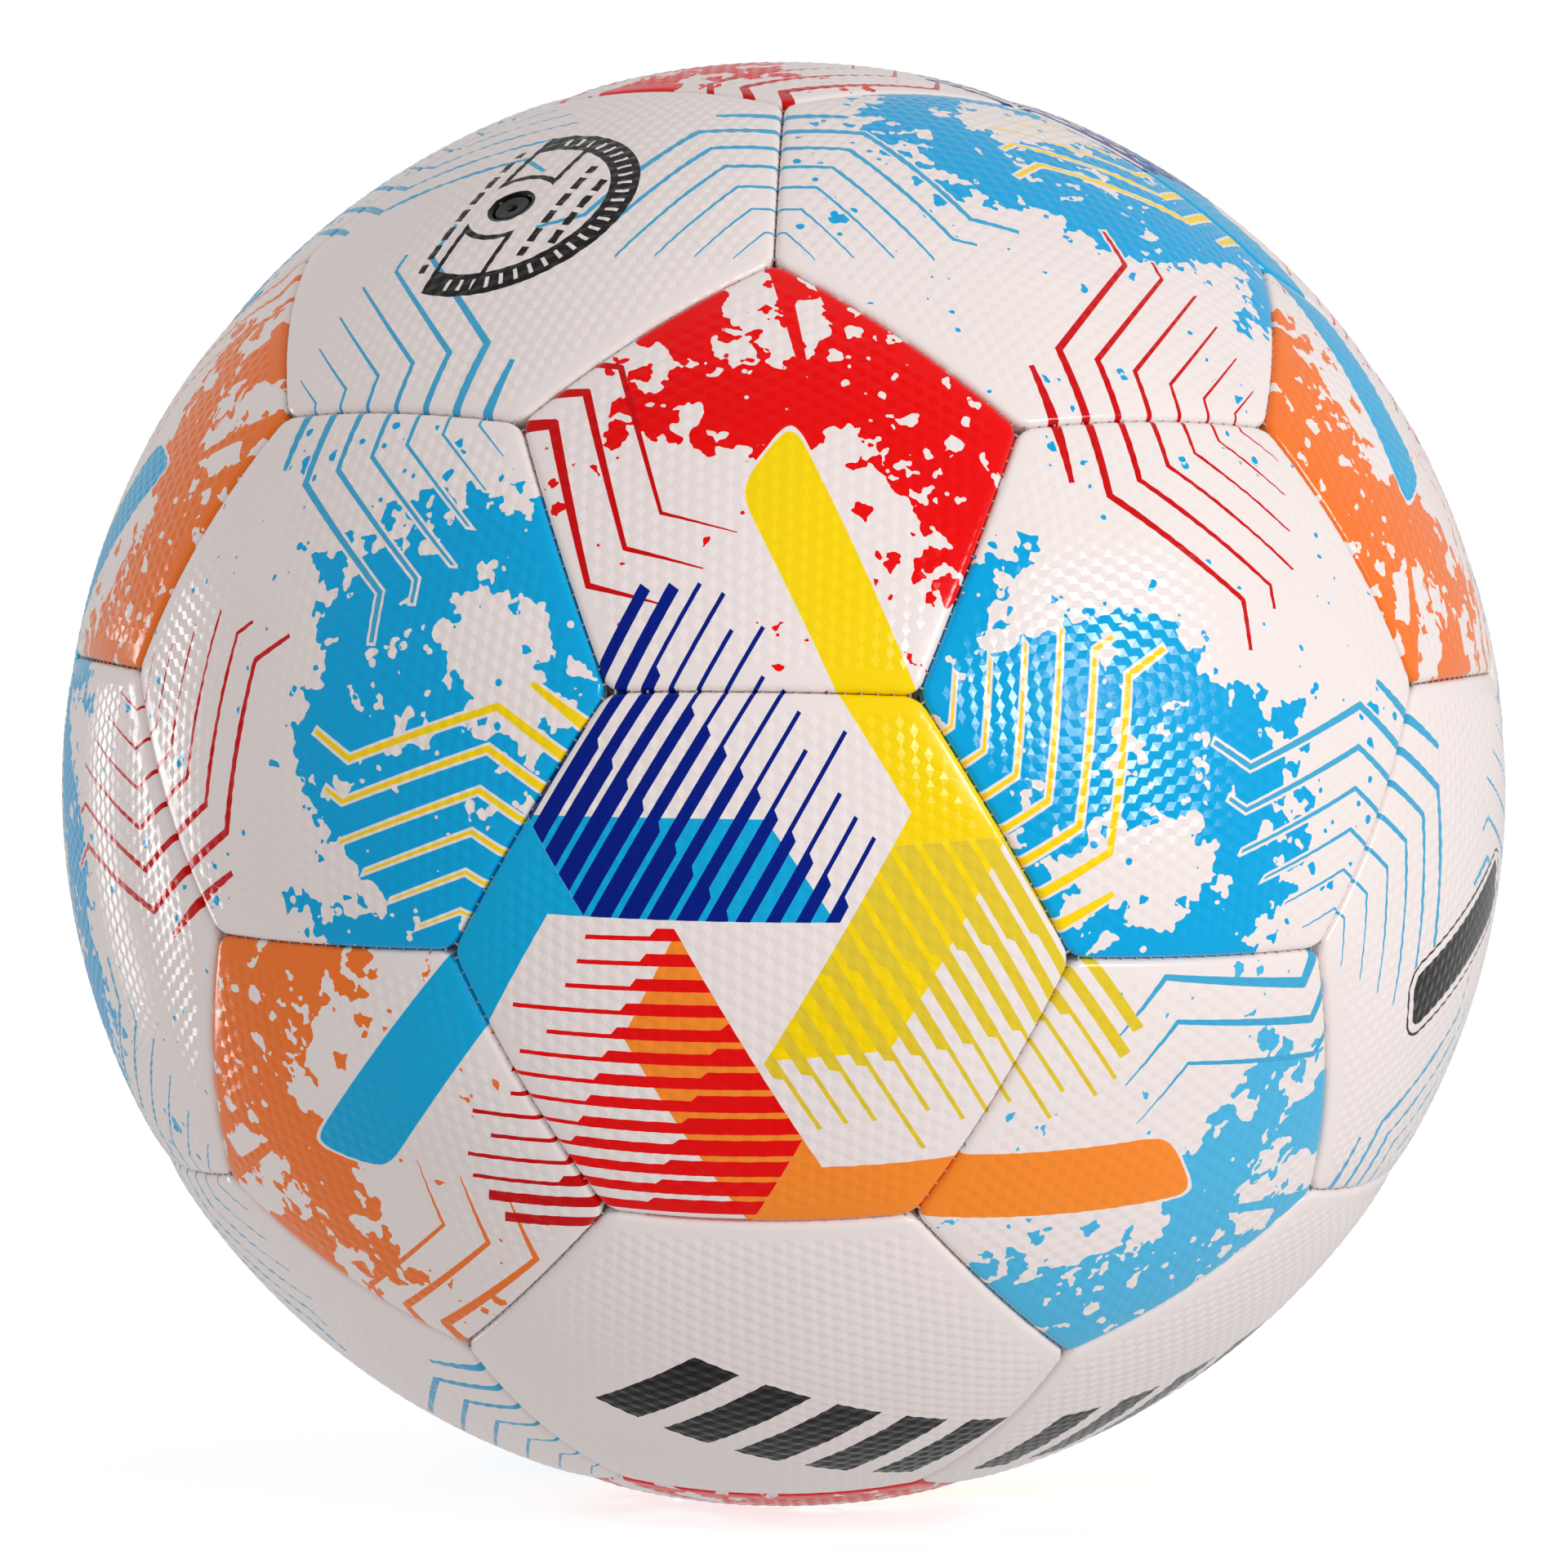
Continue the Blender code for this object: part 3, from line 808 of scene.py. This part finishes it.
SEAM_STEP = HEXAGON_APOTHEM + PENTAGON_APOTHEM
CHEVRONS = (
    ((-38.5, 11.4), (-32.3, 10.8), (-26.0, -16.0), (-15.2, -19.2)),
    ((-34.5, 16.6), (-27.3, 15.7), (-20.3, -10.6), (-8.8, -14.0)),
    ((-28.0, 21.4), (-22.2, 19.6), (-15.0, -5.4), (-4.0, -8.6)),
)
CHEVRON_WIDTHS = (1.15, 0.9, 0.5, 0.15)
CHEVRON_THINNING = 0.22
SPRAY_BARS = ((0.0, 41.0, 4.8, 18.5, 1.5, 0.7), (7.5, 35.0, 11.2, 22.5, 1.2, 0.4))
BAND_CORNER, BAND_END_CORNER = 0.5, 5.5


def pentagon_print(name, splash, line, band_colour, stripe_colour):
    """A pentagon with torn paint, bent lines, the end of a band and the ends of a figure's stripes."""
    layers = Print(name)
    at = layers.at
    body = (at.y - 4.5).min(at.left_of((-14, 16), (-8, 0)))
    body = body.max(at.ellipse((-13, 19), (9, 12), -20))
    strip = at.ellipse((31, 0), (4.5, 13), -15)
    holes = at.ellipse((-2.0, 21.5), (5.5, 3.2)).max(at.ellipse((-3.5, 32), (4.0, 6.5), 20))
    holes = holes.max(at.ellipse((6.3, 27), (2.6, 6), 15)).max(at.ellipse((-17.5, 17.5), (1.6, 2.2)))
    holes = holes.max(at.ellipse((11.5, 3), (4.5, 4))).max(at.ellipse((11, 30), (1.3, 3.5), 10))
    field = body.max(strip).min(-holes)
    (paint_mask,) = use_group(GRUNGE, field, at.x, at.y, PENTAGON_SEED)
    first_bar, second_bar = (use_group(STROKE, at.x, at.y, *bar)[0] for bar in SPRAY_BARS)
    layers.ink(splash, paint_mask.max(first_bar.max(second_bar).crisp()))
    for index, points in enumerate(CHEVRONS):
        widths = [width * (1.0 - CHEVRON_THINNING * index) for width in CHEVRON_WIDTHS]
        lines = None
        for start, end, first, last in zip(points, points[1:], widths, widths[1:]):
            stroke = use_group(STROKE, at.x, at.y, *start, *end, first, last)[0]
            lines = stroke if lines is None else lines.max(stroke)
        layers.ink(line, lines.crisp())
    left, right = at.left_of((-4, -2), (11, -32.5)), at.left_of((23.2, -32), (5, 5.8))
    band = left.math("SMOOTH_MIN", right, BAND_CORNER)
    band = band.math("SMOOTH_MIN", at.left_of((1.5, 6.3), (-4, -2)), BAND_END_CORNER)
    layers.ink(WHITE, (band + HALO).crisp())
    layers.ink(band_colour, band.crisp())
    (stripe,) = use_group(STRIPES, at.x, at.y + SEAM_STEP)
    layers.ink(stripe_colour, stripe)
    return finish_skin(layers)


BAR_PITCH = 12.0
BAR_HALF_WIDTH = 3.8
BAR_HALF_HEIGHT = 10.5
BAR_LEAN = 0.28
BAR_ROW = -4.7  # the middle of the row, off the middle of the panel
BAR_COUNT = 5


def bars_print(name, direction, start):
    """A white hexagon with a plain row of leaning black bars that runs in this direction."""
    layers = Print(name)
    row = layers.at.turned(direction)
    height = row.y - BAR_ROW
    along = row.x - height * BAR_LEAN - start
    number = along.over(1 / BAR_PITCH, 0.5).math("FLOOR").max(0.0).min(BAR_COUNT - 1.0)
    off = (along - number * BAR_PITCH).abs()
    layers.ink(BLACK, (-off + BAR_HALF_WIDTH).min(-height.abs() + BAR_HALF_HEIGHT).crisp())
    return finish_skin(layers)


BADGE_TILT = 27.0
BADGE_HALF_LENGTH = 19.0
BADGE_HALF_HEIGHT = 4.6
BADGE_ROUND = 2.5
BADGE_LINE = 0.5
BADGE_MARGIN = 1.6


def badge_print(name):
    """The fan print with a plain rounded black bar, outlined, across the middle."""
    layers = Print(name)
    for side in FAN_SIDES:
        layers.fan(side, -1, FAN_BLUE)
    bar = layers.at.turned(BADGE_TILT)
    out_x = (bar.x.abs() - (BADGE_HALF_LENGTH - BADGE_ROUND)).max(0.0)
    out_y = (bar.y.abs() - (BADGE_HALF_HEIGHT - BADGE_ROUND)).max(0.0)
    off = (out_x * out_x + out_y * out_y).math("SQRT") - BADGE_ROUND
    layers.ink(WHITE, (-off + BADGE_MARGIN + BADGE_LINE).crisp())
    border = -(off - BADGE_MARGIN).abs() + BADGE_LINE / 2
    layers.ink(BLACK, (-off).max(border).crisp())
    return finish_skin(layers)


def backing_material():
    """The pale foam and its cloth backing behind the skin."""
    material, tree, shader = new_material("foam backing")
    pores = spot_of(tree).noise(0.6 * MM, 3.0, 0.6)
    shade = pores.over(0.06, 0.72)
    cream = combined(tree, "ShaderNodeCombineColor", shade, shade * 0.98, shade * 0.93)
    feed(shader.inputs["Base Color"], cream)
    feed(shader.inputs["Roughness"], pores.over(0.05, 0.85))
    add_bump(tree, pores, 1.0, 0.1)
    return material


prints = {
    "splatter_right": splatter_print("splatter print, right-handed", 1),
    "splatter_left": splatter_print("splatter print, left-handed", -1),
    "fans_right": fans_print("fan print, right-handed", 1),
    "fans_left": fans_print("fan print, left-handed", -1),
    "valve": fans_print("valve print", 1, label=True),
    "figure": figure_print("figure print"),
    "badge": badge_print("badge print"),
    "bars_first": bars_print("bar print, first half", -30, -14.0),
    "bars_second": bars_print("bar print, second half", 33, -30.0),
    "red": pentagon_print("red print", RED, DARK_RED, YELLOW, NAVY),
    "blue": pentagon_print("blue print", LIGHT_BLUE, FAN_BLUE, ORANGE, OLIVE),
    "orange": pentagon_print("orange print", SPLATTER_ORANGE, SPLATTER_ORANGE, CYAN, DARK_RED),
}
backing = backing_material()


def add_piece(name, mesh, slot, *nodes):
    """A piece that rides on the ball and stands for these CAD nodes."""
    piece = bpy.data.objects.new(name, mesh)
    bpy.context.scene.collection.objects.link(piece)
    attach(piece, "root")
    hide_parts(*nodes)


def add_cover():
    """A skin panel for each CAD panel."""
    shapes = {}
    for level in LEVELS:
        for index, (kind, art_turn) in enumerate(ARTWORK[level]):
            key = *panel_kind(level), kind == "valve"
            if key not in shapes:
                shapes[key] = panel_shape(*key)
            node = level if len(ARTWORK[level]) == 1 else f"{level}_{index + 1}"
            mesh = panel_mesh("skin_" + node, shapes[key], panel_turn(level, index), art_turn)
            mesh.materials.append(prints[kind])
            mesh.materials.append(backing)
            slot = "cover_hexagon" if level.startswith("hexagon") else "cover_pentagon"
            add_piece("skin_" + node, mesh, slot, node)


# The stitching.

STITCH_LENGTH = 1.2
STITCH_RADIUS = 0.18
STITCH_HEIGHT = 108.72
STITCH_SIDES = 6
STRAND_HEIGHT = 105.4
STRAND_RADIUS = 0.5
STRAND_SIDES = 8
STRAND_STEPS = 12


def capsule(length, radius, sides):
    """A short rod along X with drawn-in ends, as points and faces."""
    stations = ((-0.5, 0.0), (-0.42, 0.75), (-0.2, 1.0), (0.2, 1.0), (0.42, 0.75), (0.5, 0.0))
    points, faces = [(-length / 2, 0, 0)], []
    for share, thickness in stations[1:-1]:
        for k in range(sides):
            a, r = 2 * math.pi * k / sides, thickness * radius
            points.append((share * length, r * math.cos(a), r * math.sin(a)))
    points.append((length / 2, 0, 0))
    last = len(points) - 1
    for k in range(sides):
        after = (k + 1) % sides
        faces.append((0, 1 + after, 1 + k))
        for ring in range(len(stations) - 3):
            base = 1 + ring * sides
            faces.append((base + k, base + after, base + sides + after, base + sides + k))
        faces.append((last - sides + k, last - sides + after, last))
    return np.array(points), faces


def seam_lines():
    """The directions of the two ends of every seam, once each."""
    found = {}
    for level in LEVELS:
        sides, first = panel_kind(level)
        reach = panel_apothem(sides) / math.cos(math.pi / sides)
        angles = np.radians(first - 180 / sides) + np.arange(sides) * 2 * np.pi / sides
        flat = np.column_stack([np.cos(angles) * reach, np.sin(angles) * reach, [BALL] * sides])
        for index in range(len(ARTWORK[level])):
            corners = flat / np.linalg.norm(flat, axis=1, keepdims=True) @ panel_turn(level, index).T
            for k in range(sides):
                ends = corners[k], corners[(k + 1) % sides]
                found.setdefault(tuple(np.round(ends[0] + ends[1], 3) + 0.0), ends)
    return list(found.values())


def joined(parts):
    """Several lots of points and faces as one."""
    points, faces, start = [], [], 0
    for some_points, some_faces in parts:
        points.append(some_points)
        faces += [tuple(i + start for i in face) for face in some_faces]
        start += len(some_points)
    return np.vstack(points), faces


def add_stitching():
    """A short stitch across the seams every few millimetres, and the waxed strand under each seam."""
    stitch_points, stitch_faces = capsule(STITCH_LENGTH, STITCH_RADIUS, STITCH_SIDES)
    parts = []
    for start, end in seam_lines():
        whole = math.acos(float(start @ end))
        across = np.cross(start, end) / math.sin(whole)
        middle = (start + end) / np.linalg.norm(start + end)
        forward = np.cross(across, middle)

        def on_seam(angle):
            out = middle * math.cos(angle) + forward * math.sin(angle)
            return out, forward * math.cos(angle) - middle * math.sin(angle)

        count = round(whole * BALL / STITCH_PITCH)
        for k in range(count):
            out, along = on_seam(((k + 0.5) / count - 0.5) * whole)
            axes = np.array([across, out, along])
            parts.append((stitch_points @ axes + out * STITCH_HEIGHT, stitch_faces))
        rings = []
        for step in range(STRAND_STEPS + 1):
            out, _ = on_seam((step / STRAND_STEPS - 0.5) * whole)
            for k in range(STRAND_SIDES):
                a = 2 * math.pi * k / STRAND_SIDES
                height = STRAND_HEIGHT + STRAND_RADIUS * math.cos(a)
                rings.append(out * height - across * STRAND_RADIUS * math.sin(a))
        faces = [tuple(range(STRAND_SIDES))[::-1]]
        for base in range(0, STRAND_STEPS * STRAND_SIDES, STRAND_SIDES):
            for k in range(STRAND_SIDES):
                after = (k + 1) % STRAND_SIDES
                faces.append((base + k, base + after, base + STRAND_SIDES + after, base + STRAND_SIDES + k))
        last = STRAND_STEPS * STRAND_SIDES
        faces.append(tuple(range(last, last + STRAND_SIDES)))
        parts.append((np.array(rings), faces))
    points, faces = joined(parts)
    mesh = bpy.data.meshes.new("stitching")
    mesh.from_pydata((points * MM).tolist(), [], faces)
    mesh.shade_smooth()
    mesh.materials.append(fibre_material("waxed thread", (0.50, 0.48, 0.45), 0.55, 0.25))
    add_piece("stitching", mesh, "thread", "seam_thread")


# The valve.

VALVE_STEPS = 72
VALVE_PROFILE = (
    # distance from the axis, height over the middle of the ball: up the bore and down the outside
    (1.10, 88.0), (0.90, 88.3), (0.90, 89.6), (2.30, 91.0), (2.30, 101.8), (0.90, 103.2), (0.90, 107.9),
    (0.74, 108.3), (0.74, 109.15), (0.82, 109.38), (1.02, 109.50), (1.35, 109.53), (1.95, 109.56),
    (2.10, 109.60), (2.50, 109.60), (2.66, 109.53), (2.76, 109.38), (2.80, 109.15), (2.80, 106.1),
    (2.90, 105.85), (4.25, 105.30), (4.52, 105.12), (4.60, 104.85), (4.60, 102.0), (4.75, 101.55),
    (5.10, 101.36), (10.4, 100.86), (10.85, 100.74), (11.0, 100.55), (10.9, 100.32), (10.6, 100.2),
    (4.2, 100.2), (3.75, 100.05), (3.60, 99.6), (3.60, 88.9), (3.45, 88.45), (2.95, 88.06), (2.6, 88.0),
)


def add_valve():
    """The moulded valve, with a raised rim round the mouth that the needle goes in."""
    turn = panel_turn("hexagon_panel_top", 4)
    points, faces = [], []
    for step in range(VALVE_STEPS):
        a = 2 * math.pi * step / VALVE_STEPS
        for radius, height in VALVE_PROFILE:
            points.append((radius * math.cos(a), radius * math.sin(a), height))
    count = len(VALVE_PROFILE)
    for step in range(VALVE_STEPS):
        here, there = step * count, (step + 1) % VALVE_STEPS * count
        for k in range(count):
            after = (k + 1) % count
            faces.append((here + k, here + after, there + after, there + k))
    mesh = bpy.data.meshes.new("moulded_valve")
    mesh.from_pydata((np.array(points) @ turn.T * MM).tolist(), [], faces)
    mesh.shade_smooth()
    mesh.materials.append(rubber_material("moulded rubber", (0.017, 0.017, 0.018), 0.38, 0.9))
    add_piece("moulded_valve", mesh, "valve_rubber", "valve_stem")


# Materials of the pieces under the cover.


def rubber_material(name, colour, roughness, grain_size):
    """Rubber with a moulded grain and a little bloom on it."""
    material, tree, shader = new_material(name)
    spot = spot_of(tree)
    grain = spot.noise(grain_size * MM, 3.0, 0.6)
    bloom = spot.noise(9 * grain_size * MM, 3.0, 0.6, seed=5.0)
    bloomed = (*(c * 1.5 + 0.012 for c in colour), 1)
    feed(shader.inputs["Base Color"], mixed(tree, bloom.over(0.5, 0.5).share(), (*colour, 1), bloomed))
    feed(shader.inputs["Roughness"], bloom * 0.08 + grain * 0.05 + roughness)
    add_bump(tree, grain, 0.5, 0.04)
    return material


RIB_SCALE = 0.314  # of a wave texture whose bands are a thread apart, times the thread's size


def fibre_material(name, colour, roughness, thread_size):
    """Cloth or thread: fine crossing ribs with painted shade in the hollows between them, slubs and a soft
    sheen.
    """
    material, tree, shader = new_material(name)
    spot = spot_of(tree)
    ribs = None
    for direction in ("X", "Z"):
        wave = tree.nodes.new("ShaderNodeTexWave")
        wave.bands_direction = direction
        wave.inputs["Scale"].default_value = RIB_SCALE / (thread_size * MM)
        wave.inputs["Distortion"].default_value = 1.2
        feed(wave.inputs["Vector"], spot.vector)
        rib = Field(tree, wave.outputs["Fac"])
        ribs = rib if ribs is None else ribs.max(rib)
    slub = spot.noise(8 * thread_size * MM, 3.0, 0.6)
    # Painted shade: the colour is darkened in the hollows between the ribs, where the bump is low.
    hollow_shade = (*(c * 0.72 for c in colour), 1)
    feed(shader.inputs["Base Color"], mixed(tree, (ribs * 0.7 + slub * 0.2).share(), hollow_shade, (*colour, 1)))
    feed(shader.inputs["Roughness"], slub * 0.06 + roughness)
    shader.inputs["Sheen Weight"].default_value = 0.3
    add_bump(tree, ribs, 0.6, 0.12)
    return material


def finish_inner_pieces():
    """Gives the CAD pieces under the cover their finishes."""
    butyl = rubber_material("butyl rubber", (0.030, 0.030, 0.034), 0.48, 1.2)
    finishes = {
        "cloth_lining": fibre_material("lining cloth", (0.55, 0.53, 0.47), 0.88, 0.7),
        "bladder": butyl,
        "valve_patch": butyl,
        "balance_patch": butyl,
        "needle_plug": rubber_material("soft plug rubber", (0.30, 0.12, 0.06), 0.45, 0.5),
    }
    for name, material in finishes.items():
        bpy.data.objects[name].material_slots[0].material = material


add_cover()
add_stitching()
add_valve()
finish_inner_pieces()


# Light, floor and camera.

CAMERA_AZIMUTH = 1.71
CAMERA_ELEVATION = 3.268
CAMERA_DISTANCE = 1.368
CAMERA_ROLL = 0.605
CAMERA_LENS = 205.6
WORLD_LIGHT = 0.66
ROOM_GLOSS = 0.05  # how bright the room in front is in the ball's gloss
BACKDROP_GLOSS = 0.6  # and how much brighter the backdrop is
FLOOR_RADIUS = 8.0
FLOOR_SIDES = 96
FLOOR_SHADE = (0.38, 0.38, 0.38, 1)
FLOOR_GLOW = 0.78  # stands in for lamps that light the floor
SOFTBOXES = (
    # name, azimuth, elevation, distance, width, height and power in watts
    ("main softbox", 49, 14.5, 1.6, 0.76, 0.48, 7.5),
    ("bright middle of the main softbox", 49, 14.5, 1.59, 0.3, 0.26, 4.0),
    ("side strip", -118, -6, 1.6, 0.25, 0.8, 4.2),
)


def aimed(obj, position, roll=0.0):
    """Puts an object at a position, looking at the middle of the ball."""
    obj.location = position
    turn = (-position).to_track_quat("-Z", "Y").to_matrix()
    obj.rotation_euler = (turn @ Matrix.Rotation(math.radians(roll), 3, "Z")).to_euler()


def add_softbox(name, azimuth, elevation, distance, width, height, power):
    """A rectangular lamp that faces the ball."""
    data = bpy.data.lights.new(name, "AREA")
    data.shape = "RECTANGLE"
    data.size = width
    data.size_y = height
    data.energy = power
    light = bpy.data.objects.new(name, data)
    light.visible_camera = False
    bpy.context.scene.collection.objects.link(light)
    aimed(light, outward(azimuth, elevation) * distance)


def add_camera():
    """The camera, with the ball almost filling its view."""
    data = bpy.data.cameras.new("camera")
    data.lens = CAMERA_LENS
    data.sensor_width = 36
    camera = bpy.data.objects.new("camera", data)
    bpy.context.scene.collection.objects.link(camera)
    aimed(camera, outward(CAMERA_AZIMUTH, CAMERA_ELEVATION) * CAMERA_DISTANCE, CAMERA_ROLL)
    bpy.context.scene.camera = camera


def add_floor():
    """A plain pale floor, which neither lights the ball nor shows in its gloss."""
    lowest = cad_box[0].z
    mesh = bpy.data.meshes.new("floor")
    turn = [2 * math.pi * k / FLOOR_SIDES for k in range(FLOOR_SIDES)]
    rim = [(FLOOR_RADIUS * math.cos(a), FLOOR_RADIUS * math.sin(a), lowest) for a in turn]
    mesh.from_pydata(rim, [], [list(range(FLOOR_SIDES))])
    material, _, shader = new_material("pale floor")
    shader.inputs["Base Color"].default_value = FLOOR_SHADE
    shader.inputs["Roughness"].default_value = 0.9
    shader.inputs["Specular IOR Level"].default_value = 0.0
    shader.inputs["Emission Color"].default_value = (1, 1, 1, 1)
    shader.inputs["Emission Strength"].default_value = FLOOR_GLOW
    mesh.materials.append(material)
    floor = bpy.data.objects.new("floor", mesh)
    floor.visible_diffuse = False
    floor.visible_glossy = False
    bpy.context.scene.collection.objects.link(floor)


def light_world():
    """Soft light from all round. In the gloss of the ball the backdrop is bright and the room is dark."""
    world = bpy.data.worlds.new("white studio")
    world.use_nodes = True
    tree = world.node_tree
    background = tree.nodes["Background"]
    background.inputs["Color"].default_value = (1, 1, 1, 1)
    rays = tree.nodes.new("ShaderNodeLightPath")
    where = tree.nodes.new("ShaderNodeTexCoord")
    split = tree.nodes.new("ShaderNodeSeparateXYZ")
    feed(split.inputs[0], where.outputs["Generated"])
    behind = Field(tree, split.outputs["Y"]).over(0.6, 0.3).share()
    gloss = behind.over(BACKDROP_GLOSS, ROOM_GLOSS - WORLD_LIGHT)
    mirrored = Field(tree, rays.outputs["Is Glossy Ray"]) * gloss
    seen = Field(tree, rays.outputs["Is Camera Ray"]) * (1 - WORLD_LIGHT)
    feed(background.inputs["Strength"], seen + mirrored + WORLD_LIGHT)
    world.cycles.sampling_method = "NONE"
    bpy.context.scene.world = world
    bpy.context.scene.view_settings.view_transform = "Standard"


add_camera()
add_floor()
light_world()
for softbox in SOFTBOXES:
    add_softbox(*softbox)
